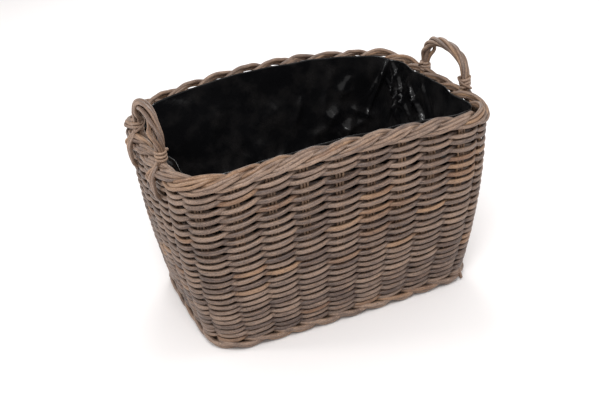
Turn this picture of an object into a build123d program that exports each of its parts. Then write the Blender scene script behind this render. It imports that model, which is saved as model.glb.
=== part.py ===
from build123d import *
import math
import os

# Log basket, in millimetres: X along the basket, Y across it, Z up.
# The origin is on the floor under the middle of the basket.
# Outlines are measured on the wall's centreline, which the stakes follow.
RIM_HALF_LENGTH = 286.0
RIM_HALF_WIDTH = 204.0
RIM_SIDE_BULGE = 22.0
RIM_END_BULGE = 12.0
RIM_CORNER_RADIUS = 78.0
BASE_HALF_LENGTH = 245.0
BASE_HALF_WIDTH = 152.0
BASE_SIDE_BULGE = 6.0
BASE_END_BULGE = 4.0
BASE_CORNER_RADIUS = 60.0
WALL_HEIGHT = 340.0

# Stakes: groups of three thin rods, evenly spaced round the wall.
GROUPS = 30
STAKE_DIAMETER = 5.0
STAKE_SPACING = 5.3
STAKE_BOTTOM = 13.0
STAKE_TOP = 338.0

# Weave: rows of two strands, one outside the stakes and one inside.
ROWS = 23
STRAND_DIAMETER = 8.8
FIRST_ROW_HEIGHT = 24.0
FIRST_ROW_PITCH = 10.6
LAST_ROW_PITCH = 15.2
WALE_HEIGHT = 320.0
GAP = 0.7
STRAND_OFFSET = STAKE_DIAMETER / 2 + GAP + STRAND_DIAMETER / 2

# Borders: one cane for each stake group, which crosses the edge and spans two groups.
# The foot's canes are worn flat by this depth where they meet the floor.
BORDER_CANE_DIAMETER = 9.2
BORDER_REACH = 9.8
BORDER_BEND_RADIUS = 45.0
RIM_CREST = 344.5
RIM_DROP = 14.0
FOOT_CANE_DIAMETER = 8.8
FOOT_REACH = 9.8
FOOT_RISE = 9.5
FOOT_WEAR = 0.6

# Base: long sticks with thinner canes across them, above and below by turns.
STICK_DIAMETER = 9.0
STICK_COUNT = 7
STICK_SPACING = 37.0
STICK_HALF_LENGTH = 218.0
STICK_HEIGHT = 12.2
BASE_CANE_DIAMETER = 6.6
BASE_CANE_PAIRS = 28
BASE_CANE_SPACING = 7.2
BASE_CANE_HALF_LENGTH = 131.0

# Liner: a film bag inside the weave, its top edge held under the rim border.
LINER_OFFSET = -12.9
LINER_THICKNESS = 0.8
LINER_BOTTOM = 24.0
LINER_TOP = 326.0
LINER_SECTIONS = 6

# Handles: hoops of four canes at the two ends, bound where each leg meets the rim.
HANDLE_CANE_DIAMETER = 8.0
HANDLE_CANE_SPACING = 8.6
HANDLE_HALF_SPAN = 70.0
HANDLE_TOP = 420.0
HANDLE_BEND_RADIUS = 52.0
HANDLE_PLANE = 284.5
SPLAY_TOP = 356.0
SPLAY_BOTTOM = 335.0
SPLAY_REACH = 19.4
SPLAY_BEND_RADIUS = 15.0
OUTER_LEG_END = 285.0
INNER_LEG_END = 300.0
BINDING_CANE_DIAMETER = 5.0
BINDING_TURNS = 2
BINDING_PITCH = 5.6
BINDING_HEIGHT = 362.5


def flare(height):
    """Share of the way from the base outline to the rim outline at a height."""
    return 1 - (1 - height / WALL_HEIGHT) ** 2


def blend(base, rim, height):
    return base + (rim - base) * flare(height)


def bow_radius(half_chord, bulge):
    return (half_chord ** 2 + bulge ** 2) / (2 * bulge)


def outline_arcs(height, offset=0.0):
    """Arcs of the wall's outline, from the middle of the front and round past the right end."""
    half_length = blend(BASE_HALF_LENGTH, RIM_HALF_LENGTH, height)
    half_width = blend(BASE_HALF_WIDTH, RIM_HALF_WIDTH, height)
    side_bulge = blend(BASE_SIDE_BULGE, RIM_SIDE_BULGE, height)
    end_bulge = blend(BASE_END_BULGE, RIM_END_BULGE, height)
    corner = blend(BASE_CORNER_RADIUS, RIM_CORNER_RADIUS, height)
    side = bow_radius(half_length - end_bulge, side_bulge)
    end = bow_radius(half_width - side_bulge, end_bulge)
    side_centre = side - half_width
    end_centre = half_length - end
    span = math.hypot(end_centre, side_centre)
    along = ((side - corner) ** 2 - (end - corner) ** 2 + span ** 2) / (2 * span)
    across = math.sqrt((side - corner) ** 2 - along ** 2)
    ux, uy = end_centre / span, -side_centre / span
    corner_x = ux * along - uy * across
    corner_y = side_centre + uy * along + ux * across
    if corner_x < 0:
        corner_x = ux * along + uy * across
        corner_y = side_centre + uy * along - ux * across
    side_turn = math.atan2(corner_x, side_centre - corner_y)
    end_turn = math.atan2(-corner_y, corner_x - end_centre)
    quarter = math.pi / 2
    right = [
        (0, side_centre, side + offset, -quarter, side_turn),
        (corner_x, corner_y, corner + offset, side_turn - quarter, quarter - side_turn - end_turn),
        (end_centre, 0, end + offset, -end_turn, 2 * end_turn),
        (corner_x, -corner_y, corner + offset, end_turn, quarter - side_turn - end_turn),
        (0, -side_centre, side + offset, quarter - side_turn, side_turn),
    ]
    left = [(-x, y, radius, math.pi - start - turn, turn) for x, y, radius, start, turn in reversed(right)]
    return right + left


def outline_point(height, share, offset=0.0):
    """Point at a share of the way round the outline, with its heading."""
    arcs = outline_arcs(height)
    shifted = outline_arcs(height, offset)
    left = (share % 1) * sum(radius * turn for _, _, radius, _, turn in arcs)
    for (x, y, radius, start, turn), (_, _, reach, _, _) in zip(arcs, shifted):
        if left <= radius * turn:
            break
        left -= radius * turn
    angle = start + left / radius
    return Vector(x + reach * math.cos(angle), y + reach * math.sin(angle), height), angle


def outline_wire(height, offset):
    edges = []
    for x, y, radius, start, turn in outline_arcs(height, offset):
        corners = [
            (x + radius * math.cos(start + turn * part), y + radius * math.sin(start + turn * part), height)
            for part in (0, 0.5, 1)
        ]
        edges.append(ThreePointArc(*corners))
    return Wire(edges)


def tube(path, diameter):
    """Round cane along a path of lines and arcs."""
    section = Plane(origin=path @ 0, z_dir=path % 0) * Circle(diameter / 2)
    return sweep(section, path=path)


def ring(height, offset, diameter):
    return tube(outline_wire(height, offset), diameter)


def rod(start, end, diameter):
    return tube(Line(start, end), diameter)


def save(name, solids):
    export_step(Compound(children=solids), f"parts/{name}.step")


def row_heights():
    step = (LAST_ROW_PITCH - FIRST_ROW_PITCH) / (ROWS - 2)
    return [FIRST_ROW_HEIGHT + row * FIRST_ROW_PITCH + row * (row - 1) / 2 * step for row in range(ROWS)]


def make_weave():
    """Each row is an outer and an inner strand that hold the stakes between them."""
    heights = row_heights() + [WALE_HEIGHT]
    names = [f"weave_row_{row + 1:02d}" for row in range(ROWS)] + ["rim_wale"]
    for name, height in zip(names, heights):
        save(name, [ring(height, offset, STRAND_DIAMETER) for offset in (STRAND_OFFSET, -STRAND_OFFSET)])


def stake(group, place):
    """One rod of a group, which follows the curve of the wall."""
    points = []
    for height in (STAKE_BOTTOM, (STAKE_BOTTOM + STAKE_TOP) / 2, STAKE_TOP):
        centre, angle = outline_point(height, (group + 0.5) / GROUPS)
        points.append(centre + Vector(-math.sin(angle), math.cos(angle), 0) * place * STAKE_SPACING)
    return tube(ThreePointArc(*points), STAKE_DIAMETER)


def make_stakes():
    sides = {
        "front_stakes": [26, 27, 28, 29, 0, 1, 2, 3],
        "front_right_corner_stakes": [4, 5],
        "right_end_stakes": [6, 7, 8],
        "back_right_corner_stakes": [9, 10],
        "back_stakes": [11, 12, 13, 14, 15, 16, 17, 18],
        "back_left_corner_stakes": [19, 20],
        "left_end_stakes": [21, 22, 23],
        "front_left_corner_stakes": [24, 25],
    }
    for name, groups in sides.items():
        save(name, [stake(group, place) for group in groups for place in (-1, 0, 1)])


def border_cane(group, crossing, rise, reach, diameter):
    """Cane from outside the wall, over or under its edge, to the inside two groups on."""
    route = []
    for step in (-1, -0.5, 0, 0.5, 1):
        height = crossing + rise * step ** 2
        route.append(outline_point(height, (group + 0.5 + step) / GROUPS, -reach * step)[0])
    return tube(FilletPolyline(*route, radius=BORDER_BEND_RADIUS), diameter)


def make_borders():
    rim = [
        border_cane(group, RIM_CREST, -RIM_DROP, BORDER_REACH, BORDER_CANE_DIAMETER)
        for group in range(GROUPS)
    ]
    save("rim_border_canes", rim)
    lowest = FOOT_CANE_DIAMETER / 2 - FOOT_WEAR
    foot = [
        border_cane(group, lowest, FOOT_RISE, FOOT_REACH, FOOT_CANE_DIAMETER)
        for group in range(GROUPS)
    ]
    save("foot_border_canes", [split(cane, bisect_by=Plane.XY, keep=Keep.TOP) for cane in foot])


def make_base():
    middle = (STICK_COUNT - 1) / 2
    sticks = [
        rod((-STICK_HALF_LENGTH, y, STICK_HEIGHT), (STICK_HALF_LENGTH, y, STICK_HEIGHT), STICK_DIAMETER)
        for y in [(stick - middle) * STICK_SPACING for stick in range(STICK_COUNT)]
    ]
    save("base_sticks", sticks)
    rise = STICK_DIAMETER / 2 + GAP / 2 + BASE_CANE_DIAMETER / 2
    for name, first, height in (
        ("base_upper_canes", 0, STICK_HEIGHT + rise),
        ("base_lower_canes", 1, STICK_HEIGHT - rise),
    ):
        places = [(2 * cane + first - BASE_CANE_PAIRS + 0.5) * BASE_CANE_SPACING for cane in range(BASE_CANE_PAIRS)]
        canes = [
            rod((x, -BASE_CANE_HALF_LENGTH, height), (x, BASE_CANE_HALF_LENGTH, height), BASE_CANE_DIAMETER)
            for x in places
        ]
        save(name, canes)


def liner_body(offset, bottom):
    step = (LINER_TOP - bottom) / LINER_SECTIONS
    sections = [Face(outline_wire(bottom + level * step, offset)) for level in range(LINER_SECTIONS + 1)]
    return Solid.make_loft([section.outer_wire() for section in sections], ruled=True)


def make_liner():
    outer = liner_body(LINER_OFFSET, LINER_BOTTOM)
    inner = liner_body(LINER_OFFSET - LINER_THICKNESS, LINER_BOTTOM + LINER_THICKNESS)
    save("plastic_liner", [outer - inner])


def handle_cane(end, pair, lane):
    """Cane of a hoop: the outer pair ends outside the wall and the inner pair inside it."""
    span = HANDLE_HALF_SPAN + lane * HANDLE_CANE_SPACING / 2
    top = HANDLE_TOP + lane * HANDLE_CANE_SPACING / 2
    bound = end * (HANDLE_PLANE + pair * HANDLE_CANE_SPACING / 2)
    splayed = end * (HANDLE_PLANE + pair * SPLAY_REACH)
    leg_end = OUTER_LEG_END if pair > 0 else INNER_LEG_END
    leg = [(splayed, leg_end), (splayed, SPLAY_BOTTOM), (bound, SPLAY_TOP), (bound, top)]
    route = [(x, -span, z) for x, z in leg] + [(x, span, z) for x, z in reversed(leg)]
    hoop_radius = HANDLE_BEND_RADIUS + lane * HANDLE_CANE_SPACING / 2
    radii = [SPLAY_BEND_RADIUS, SPLAY_BEND_RADIUS, hoop_radius, hoop_radius, SPLAY_BEND_RADIUS, SPLAY_BEND_RADIUS]
    return tube(FilletPolyline(*route, radius=radii), HANDLE_CANE_DIAMETER)


def binding(end, side):
    """Turns of thin cane that hold the four canes of one leg together."""
    bundle = HANDLE_CANE_SPACING / 2 * math.sqrt(2) + HANDLE_CANE_DIAMETER / 2
    radius = bundle + GAP + BINDING_CANE_DIAMETER / 2
    turns = []
    for turn in range(BINDING_TURNS):
        height = BINDING_HEIGHT + (turn - (BINDING_TURNS - 1) / 2) * BINDING_PITCH
        place = Location((end * HANDLE_PLANE, side * HANDLE_HALF_SPAN, height))
        turns.append(place * Torus(radius, BINDING_CANE_DIAMETER / 2))
    return turns


def make_handles():
    for name, end in (("left", -1), ("right", 1)):
        save(f"{name}_handle_canes", [handle_cane(end, pair, lane) for pair in (1, -1) for lane in (1, -1)])
        for place, side in (("front", -1), ("back", 1)):
            save(f"{name}_handle_{place}_binding", binding(end, side))


os.makedirs("parts", exist_ok=True)
make_weave()
make_stakes()
make_borders()
make_base()
make_liner()
make_handles()
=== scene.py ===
"""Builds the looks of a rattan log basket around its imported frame."""

import math
import random

import bpy
import numpy as np
from mathutils import Matrix, Vector


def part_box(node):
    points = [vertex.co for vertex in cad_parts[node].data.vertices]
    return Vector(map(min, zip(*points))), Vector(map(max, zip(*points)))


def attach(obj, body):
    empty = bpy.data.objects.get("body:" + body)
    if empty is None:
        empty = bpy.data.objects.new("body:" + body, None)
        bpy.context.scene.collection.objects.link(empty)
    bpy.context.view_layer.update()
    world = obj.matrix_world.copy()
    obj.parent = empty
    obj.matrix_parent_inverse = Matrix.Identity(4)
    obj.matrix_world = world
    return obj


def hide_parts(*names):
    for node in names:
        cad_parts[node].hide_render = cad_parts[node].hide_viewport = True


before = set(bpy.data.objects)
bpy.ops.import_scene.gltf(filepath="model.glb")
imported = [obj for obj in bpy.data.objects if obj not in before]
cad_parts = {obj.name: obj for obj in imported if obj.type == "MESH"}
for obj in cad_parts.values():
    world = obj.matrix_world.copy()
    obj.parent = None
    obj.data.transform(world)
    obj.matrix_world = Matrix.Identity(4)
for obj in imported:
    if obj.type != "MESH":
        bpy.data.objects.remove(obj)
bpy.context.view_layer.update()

bl_info = {
    "name": "Rattan Log Basket",
    "version": (1, 0, 0),
    "blender": (4, 5, 0),
    "location": "View3D > Sidebar > Basket",
    "description": "Weaves a rattan log basket with a plaited rim, two hoop handles and a film liner",
    "category": "Object",
}

BODY = "root"
SEED = 41
X, Y, Z = range(3)


def middle_of(node, axis):
    """Middle of a frame node's box along one axis."""
    low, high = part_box(node)
    return (low[axis] + high[axis]) / 2


# Wall: what the frame's rows say about the outline at each height.
ROW_NAMES = sorted(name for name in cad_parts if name.startswith("weave_row_"))
ROW_HEIGHTS = np.array([middle_of(name, Z) for name in ROW_NAMES])
WEAVE_DEPTH = 0.012
ROW_HALF_LENGTHS = np.array([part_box(name)[1][X] for name in ROW_NAMES]) - WEAVE_DEPTH
ROW_HALF_WIDTHS = np.array([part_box(name)[1][Y] for name in ROW_NAMES]) - WEAVE_DEPTH
LENGTH_CURVE = np.polyfit(ROW_HEIGHTS, ROW_HALF_LENGTHS, 2)
WIDTH_CURVE = np.polyfit(ROW_HEIGHTS, ROW_HALF_WIDTHS, 2)
RIM_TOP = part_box("rim_border_canes")[1][Z]
WALE_HEIGHT = middle_of("rim_wale", Z)
SIDE_BULGE = (0.006, 0.022)
END_BULGE = (0.004, 0.012)
CORNER_RADIUS = (0.050, 0.078)
CROWN_BALANCE = 0.68
GROUPS = 30
GROUP_DRIFT = 0.035
STRAND_SAMPLES = 16
STAKES_IN_GROUP = 3
STAKE_SAMPLES = 60
STAKE_SPACING = 0.0053
STAKE_GROUPS = {
    "front_stakes": (26, 27, 28, 29, 0, 1, 2, 3),
    "front_right_corner_stakes": (4, 5),
    "right_end_stakes": (6, 7, 8),
    "back_right_corner_stakes": (9, 10),
    "back_stakes": (11, 12, 13, 14, 15, 16, 17, 18),
    "back_left_corner_stakes": (19, 20),
    "left_end_stakes": (21, 22, 23),
    "front_left_corner_stakes": (24, 25),
}
CORNER_GROUPS = (4, 5, 9, 10, 19, 20, 24, 25)

# Border canes: pitches along from the cane's group, then mm up from the crest and out from the wall.
RIM_CANES = (
    (
        (-1.1, -13, -8), (-0.85, -9, -2), (-0.6, -3.5, 3.5), (-0.35, 2, 4), (-0.1, 6, 2.5),
        (0.1, 7.2, 0), (0.35, 6, -4), (0.6, 1.5, -8.5), (0.85, -5, -11), (1.1, -13, -11),
    ),
    (
        (-1.3, -14.5, -5), (-1.05, -13.5, 4), (-0.8, -10.5, 7), (-0.55, -6, 8), (-0.3, -1, 8),
        (-0.05, 2.5, 5.5), (0.15, 3, 1.5), (0.35, 1.5, -4), (0.6, -1.5, -9), (0.9, -8, -10.5),
        (1.15, -15, -10.5),
    ),
    (
        (-1.7, -16, -4), (-1.4, -16.5, 6), (-1.1, -15.8, 9.5), (-0.8, -14, 10.5), (-0.5, -10.5, 10.8),
        (-0.25, -6.5, 10.3), (0.0, -3.5, 8), (0.2, -2.5, 2), (0.4, -3, -5), (0.65, -5.5, -10),
        (0.95, -12, -10.5),
    ),
)
FOOT_CANES = (
    (
        (-1.1, 11, -4), (-0.95, 10, 0), (-0.8, 8.5, 4.5), (-0.6, 7, 8), (-0.35, 5, 8.5),
        (-0.1, 4.2, 5.5), (0.2, 4.2, -1), (0.5, 5, -6.5), (0.8, 9, -10), (1.1, 14, -10),
    ),
    (
        (-1.5, 17, -3), (-1.25, 17.5, 6), (-0.9, 16.5, 10), (-0.5, 13.5, 11), (-0.2, 12, 10.5),
        (0.0, 12.5, 8), (0.2, 14.5, 1), (0.4, 16, -6),
    ),
)
RIM_SQUEEZE = 0.82
CORNER_LOOSENESS = 1.14
CORNER_LIFT = 0.0035

# The cut cane end at the foot: its group, then heights and offsets from its root to its tip.
CUT_END_GROUP = 4.0
CUT_END_HEIGHTS = (0.024, 0.006)
CUT_END_OFFSETS = (0.006, 0.018)
CUT_END_RADIUS = 0.0034
CUT_END_SAMPLES = 10

WALE_DROP = 0.0010
WALE_PITCH = 0.0125
BASE_STICKS = 7
STICK_SAMPLES = 40
BASE_CANES = 30
BASE_CANE_SAMPLES = 96

# Liner
LINER_COLUMNS, LINER_ROWS, FLOOR_RINGS = 540, 112, 40
LINER_OFFSET = 0.0133
LINER_CLEARANCE = 0.002
LINER_TOP_DROP = 0.0020
LINER_FLOOR_LIFT = 0.0004
RAGGED_EDGE = 0.0011
FACET_STAND, FACET_SWING, FACET_LIMIT = 0.0065, 0.0062, 0.007
FLOOR_RIPPLE = 0.002
FLOOR_RIPPLE_LIMIT = 0.008
FLOOR_SHIFT = 0.165
FILM_THICKNESS = 0.0005
FACET_LINES = 330
FLOOR_LINES = 300
UPRIGHT_FOLDS = 60
SLUMPS = 7
END_FOLDS = 20
LEG_ROOM = 0.0065
LEG_ROOM_WIDTH = 0.026
LEG_ROOM_FADE = (0.25, 0.30)

# Handles
HANDLE_CANES = 5
HOOP_SAMPLES = 96
HANDLE_CANE_SAMPLES = 260
# For each loose cane, how far it bulges out of the rope, at one of the two places along the hoop.
LOOSE_CANES = {1: 1.5, 3: 0.9}
LOOSE_PLACES = (0.16, 0.84)
LOOSE_LENGTH = 0.08
ROPE_REACH, ROPE_SWELL = 0.62, 0.50
HOOP_PLANE = middle_of("right_handle_canes", X) + 0.0005
HOOP_SHIFT = 0.004
HOOP_SPAN = middle_of("right_handle_back_binding", Y)
HOOP_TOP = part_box("right_handle_canes")[1][Z] - 0.0155
HOOP_START_DROP = 0.009
# For the left hoop and the right one: drop of the top, drops of the front and back bindings,
# outward lean.
HOOP_SHAPES = {-1: (0.000, 0.006, 0.005, -0.002), 1: (0.008, 0.005, 0.018, 0.006)}
# For each hoop: squareness of the arch, extra width, shift of the top towards the back,
# looseness of the rope.
HOOP_ARCHES = {-1: (0.74, 0.08, 0.0, 1.30), 1: (0.62, 0.19, 0.007, 1.06)}
LEG_REACH = 0.0175
LEG_START_DROP = 0.012
OUTER_LEG_ENDS = (0.287, 0.291, 0.322)
OUTER_SPLAY = (-0.0085, 0.003, 0.013)
INNER_SPLAY = (-0.010, 0.010)
OUTER_SWEEP = (0.90, 1.06, 1.05, 1.01, 0.97, 0.92, 0.60)
INNER_SWEEP = (0.55, 0.68, 0.78, 0.82, 0.78, 0.68, 0.55)
INNER_LEG_END = 0.327

# Bindings
WRAP_HEIGHT = middle_of("right_handle_back_binding", Z)
WRAP_SAMPLES = 120
WRAP_TURNS = 2.9
WRAP_PITCH = 0.0063
WRAP_REACH = 0.0086
WRAP_RADIUS = 0.0028
WRAP_TILT = 0.0016
# The binding's tail: its turn, where it starts below the middle, and its rise.
TAIL_TURN, TAIL_START, TAIL_RISE = 3.0, -0.012, 0.022

# Looks
GRAIN_RADIUS = 0.0045
# For each cane material: brightness, and strength of its gloss.
CANE_LOOKS = {
    "Weave Cane": (1.0, 0.45),
    "Wale Cane": (1.12, 0.45),
    "Stake Cane": (0.95, 0.4),
    "Border Cane": (1.12, 0.45),
    "Base Cane": (0.9, 0.4),
    "Handle Cane": (1.15, 0.5),
}

# Stage
CAMERA_AZIMUTH, CAMERA_ELEVATION, CAMERA_ROLL = -21.66, 28.17, -4.38
CAMERA_TARGET = (-0.0222, -0.0081, 0.173)
CAMERA_DISTANCE = 1.7615
CAMERA_LENS, CAMERA_SENSOR = 57.5, 36.0
STAGE_MIDDLE = (0.0, 0.0, 0.2)
# Each light's name, place, target, watts and width.
LIGHTS = (
    ("Key Light", (-0.7, -1.5, 2.2), STAGE_MIDDLE, 38, 1.0),
    ("Fill Light", (1.9, -0.9, 1.3), STAGE_MIDDLE, 11, 1.3),
    ("Back Light", (0.7, 1.9, 1.7), STAGE_MIDDLE, 22, 1.2),
    ("Side Light", (-1.7, 0.3, 1.35), (0.2, 0.0, 0.3), 8, 0.4),
)
WORLD_COLOUR = (1.0, 0.995, 0.99, 1.0)
WORLD_STRENGTH = 0.72
FLOOR_HALF = 6.0
FLOOR_DROP = 0.0005


def smooth(low, high, value):
    """Smooth step from 0 at low to 1 at high."""
    part = np.clip((value - low) / (high - low), 0, 1)
    return part * part * (3 - 2 * part)


def flare(height):
    """Share of the way from the base outline to the rim outline."""
    base = np.polyval(LENGTH_CURVE, 0.0)
    rim = np.polyval(LENGTH_CURVE, RIM_TOP)
    return (np.polyval(LENGTH_CURVE, np.minimum(height, RIM_TOP)) - base) / (rim - base)


def spread(ends, height):
    """Value at a height between the one at the base and the one at the rim."""
    return ends[0] + (ends[1] - ends[0]) * flare(height)


def bow_radius(half_chord, bulge):
    """Radius of the arc that rises by bulge over a chord."""
    return (half_chord**2 + bulge**2) / (2 * bulge)


def outline_arcs(height):
    """The wall's outline at each height as ten arcs: centre x and y, radius, start and turn."""
    half_length = np.polyval(LENGTH_CURVE, height)
    half_width = np.polyval(WIDTH_CURVE, height)
    side_bulge = spread(SIDE_BULGE, height)
    end_bulge = spread(END_BULGE, height)
    corner = spread(CORNER_RADIUS, height)
    side = bow_radius(half_length - end_bulge, side_bulge)
    end = bow_radius(half_width - side_bulge, end_bulge)
    side_y = side - half_width
    end_x = half_length - end
    span = np.hypot(end_x, side_y)
    along = ((side - corner) ** 2 - (end - corner) ** 2 + span**2) / (2 * span)
    across = np.sqrt(np.maximum((side - corner) ** 2 - along**2, 0))
    ux, uy = end_x / span, -side_y / span
    first_x = ux * along - uy * across
    flip = np.where(first_x < 0, -1.0, 1.0)
    corner_x = ux * along - uy * across * flip
    corner_y = side_y + uy * along + ux * across * flip
    side_turn = np.arctan2(corner_x, side_y - corner_y)
    end_turn = np.arctan2(-corner_y, corner_x - end_x)
    quarter = math.pi / 2
    zero = np.zeros_like(half_length)
    bend = quarter - side_turn - end_turn
    right = [
        (zero, side_y, side, zero - quarter, side_turn),
        (corner_x, corner_y, corner, side_turn - quarter, bend),
        (end_x, zero, end, -end_turn, 2 * end_turn),
        (corner_x, -corner_y, corner, end_turn, bend),
        (zero, -side_y, side, quarter - side_turn, side_turn),
    ]
    left = [(-x, y, r, math.pi - start - turn, turn) for x, y, r, start, turn in reversed(right)]
    return np.array([np.stack(arc) for arc in right + left])


def flat_point(share, height, offset):
    """Points of the outline at shares of the way round, moved out by offset."""
    arcs = outline_arcs(height)
    lengths = arcs[:, 2] * arcs[:, 4]
    ends = np.cumsum(lengths, axis=0)
    place = (share % 1.0) * ends[-1]
    which = np.minimum((place > ends).sum(axis=0), len(arcs) - 1)
    picked = np.take_along_axis(arcs, which[None, None, :], axis=0)[0]
    before = np.take_along_axis(ends - lengths, which[None, :], axis=0)[0]
    x, y, radius, start, _ = picked
    angle = start + (place - before) / radius
    reach = radius + offset
    out = np.stack([np.cos(angle), np.sin(angle), np.zeros_like(angle)], axis=1)
    point = np.stack([x + reach * out[:, 0], y + reach * out[:, 1], height], axis=1)
    return point, out


def wall_point(share, height, offset, crown):
    """Wall points, with the long sides' rise towards their middle, and the outward direction."""
    share = np.asarray(share, dtype=float)
    height = np.broadcast_to(np.asarray(height, dtype=float), share.shape)
    offset = np.broadcast_to(np.asarray(offset, dtype=float), share.shape)
    point, out = flat_point(share, height, offset)
    half_length = np.polyval(LENGTH_CURVE, height)
    part = np.minimum((point[:, X] / half_length) ** 2, 1.0)
    point[:, Z] += crown * (height / RIM_TOP) * (CROWN_BALANCE - part)
    return point, out


def perimeter_at(height):
    """Length of the outline at a height."""
    arcs = outline_arcs(np.array([height]))
    return float((arcs[:, 2] * arcs[:, 4]).sum())


PERIMETER = perimeter_at(0.30)


def unit(vectors):
    """The vectors, each made one long."""
    return vectors / np.maximum(np.linalg.norm(vectors, axis=-1, keepdims=True), 1e-12)


def repeated(direction, count):
    """The same direction, count times."""
    return np.tile(direction, (count, 1))


def title_of(name):
    """A piece's name, made from its node's name."""
    return "_".join(word.capitalize() for word in name.split("_"))


def slow_noise(rng, count, waves, closed=True):
    """Smooth noise of about unit size, made of a few sine waves."""
    t = np.linspace(0, 2 * math.pi, count, endpoint=not closed)
    total = np.zeros(count)
    for _ in range(4):
        turns = rng.randint(max(1, waves // 2), waves)
        total += rng.uniform(0.3, 0.7) * np.sin(turns * t + rng.uniform(0, 2 * math.pi))
    return total


def group_share(groups):
    """Share round the wall of each stake group's middle, a little uneven as in handwork."""
    rng = random.Random(SEED)
    drift = np.array([rng.uniform(-GROUP_DRIFT, GROUP_DRIFT) for _ in range(GROUPS)])
    groups = np.asarray(groups, dtype=float)
    low = np.floor(groups).astype(int)
    part = smooth(0, 1, groups - low)
    moved = drift[low % GROUPS] * (1 - part) + drift[(low + 1) % GROUPS] * part
    return (groups + 0.5 + moved) / GROUPS


class CaneBundle:
    """Collects round canes as one mesh, with each cane's tone and its place for the grain."""

    def __init__(self, sides):
        self.sides = sides
        self.points = []
        self.faces = []
        self.tones = []
        self.tans = []
        self.grains = []
        self.count = 0

    def add(self, centre, out, wide, tall, tone, tan, closed=False, along_start=0.0):
        """Adds a cane along centre; wide is its half depth along out, tall its other half size."""
        number = len(centre)
        ahead = np.roll(centre, -1, axis=0) - np.roll(centre, 1, axis=0)
        if not closed:
            ahead[0] = centre[1] - centre[0]
            ahead[-1] = centre[-1] - centre[-2]
        heading = unit(ahead)
        outward = unit(out - (out * heading).sum(1, keepdims=True) * heading)
        upward = np.cross(outward, heading)
        wide, tall, tone, tan = (
            np.broadcast_to(np.asarray(value, dtype=float), (number,)) for value in (wide, tall, tone, tan)
        )
        steps = np.linalg.norm(np.diff(centre, axis=0), axis=1)
        along = along_start + np.concatenate([[0.0], np.cumsum(steps)])
        if not closed:
            centre, outward, upward, wide, tall, tone, tan, along, heading = self.round_ends(
                centre, outward, upward, wide, tall, tone, tan, along, heading
            )
            number = len(centre)
        angle = np.linspace(0, 2 * math.pi, self.sides, endpoint=False)
        cosine, sine = np.cos(angle), np.sin(angle)
        ring = (
            centre[:, None, :]
            + (wide[:, None] * cosine)[..., None] * outward[:, None, :]
            + (tall[:, None] * sine)[..., None] * upward[:, None, :]
        )
        grain = np.empty_like(ring)
        grain[..., 0] = along[:, None]
        grain[..., 1] = cosine * GRAIN_RADIUS
        grain[..., 2] = sine * GRAIN_RADIUS
        self.points.append(ring.reshape(-1, 3))
        self.grains.append(grain.reshape(-1, 3))
        self.tones.append(np.repeat(tone, self.sides))
        self.tans.append(np.repeat(tan, self.sides))
        self.add_faces(number, closed)
        self.count += number * self.sides

    def round_ends(self, centre, outward, upward, wide, tall, tone, tan, along, heading):
        """Adds a smaller ring past each end, so that a cut end has a worn edge."""
        step = 0.35 * float(min(wide[0], tall[0]))
        first, last = centre[0] - heading[0] * step, centre[-1] + heading[-1] * step

        def widened(values, scale=1.0):
            return np.concatenate([values[:1] * scale, values, values[-1:] * scale])

        centre = np.vstack([first, centre, last])
        along = np.concatenate([[along[0] - step], along, [along[-1] + step]])
        return (
            centre,
            widened(outward),
            widened(upward),
            widened(wide, 0.7),
            widened(tall, 0.7),
            widened(tone),
            widened(tan),
            along,
            widened(heading),
        )

    def add_faces(self, number, closed):
        sides, start = self.sides, self.count
        rings = np.arange(number if closed else number - 1)
        corner = np.arange(sides)
        first = rings[:, None] * sides + corner[None, :]
        beside = rings[:, None] * sides + (corner[None, :] + 1) % sides
        ahead = ((rings + 1) % number)[:, None] * sides
        quads = np.stack(
            [first, beside, ahead + (corner[None, :] + 1) % sides, ahead + corner[None, :]], axis=-1
        )
        self.faces.extend((quads.reshape(-1, 4) + start).tolist())
        if not closed:
            self.faces.append((start + corner[::-1]).tolist())
            self.faces.append((start + (number - 1) * sides + corner).tolist())

    def build(self, name, material, nodes):
        mesh = bpy.data.meshes.new(name)
        mesh.from_pydata(np.concatenate(self.points).tolist(), [], self.faces)
        mesh.polygons.foreach_set("use_smooth", [len(face) == 4 for face in self.faces])
        store_floats(mesh, "tone", np.concatenate(self.tones))
        store_floats(mesh, "tan", np.concatenate(self.tans))
        grain = mesh.attributes.new("grain", "FLOAT_VECTOR", "POINT")
        grain.data.foreach_set("vector", np.concatenate(self.grains).ravel())
        mesh.materials.append(material)
        return place_piece(mesh, name, nodes)


def store_floats(mesh, name, values):
    """Stores one number for each point of a mesh, for its material to read."""
    layer = mesh.attributes.new(name, "FLOAT", "POINT")
    layer.data.foreach_set("value", np.asarray(values, dtype=np.float32))


def place_piece(mesh, name, nodes):
    """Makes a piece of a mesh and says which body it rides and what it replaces."""
    mesh.validate()
    mesh.update()
    piece = bpy.data.objects.new(name, mesh)
    bpy.context.scene.collection.objects.link(piece)
    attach(piece, BODY)
    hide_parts(*nodes)
    return piece


# Materials


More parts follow.
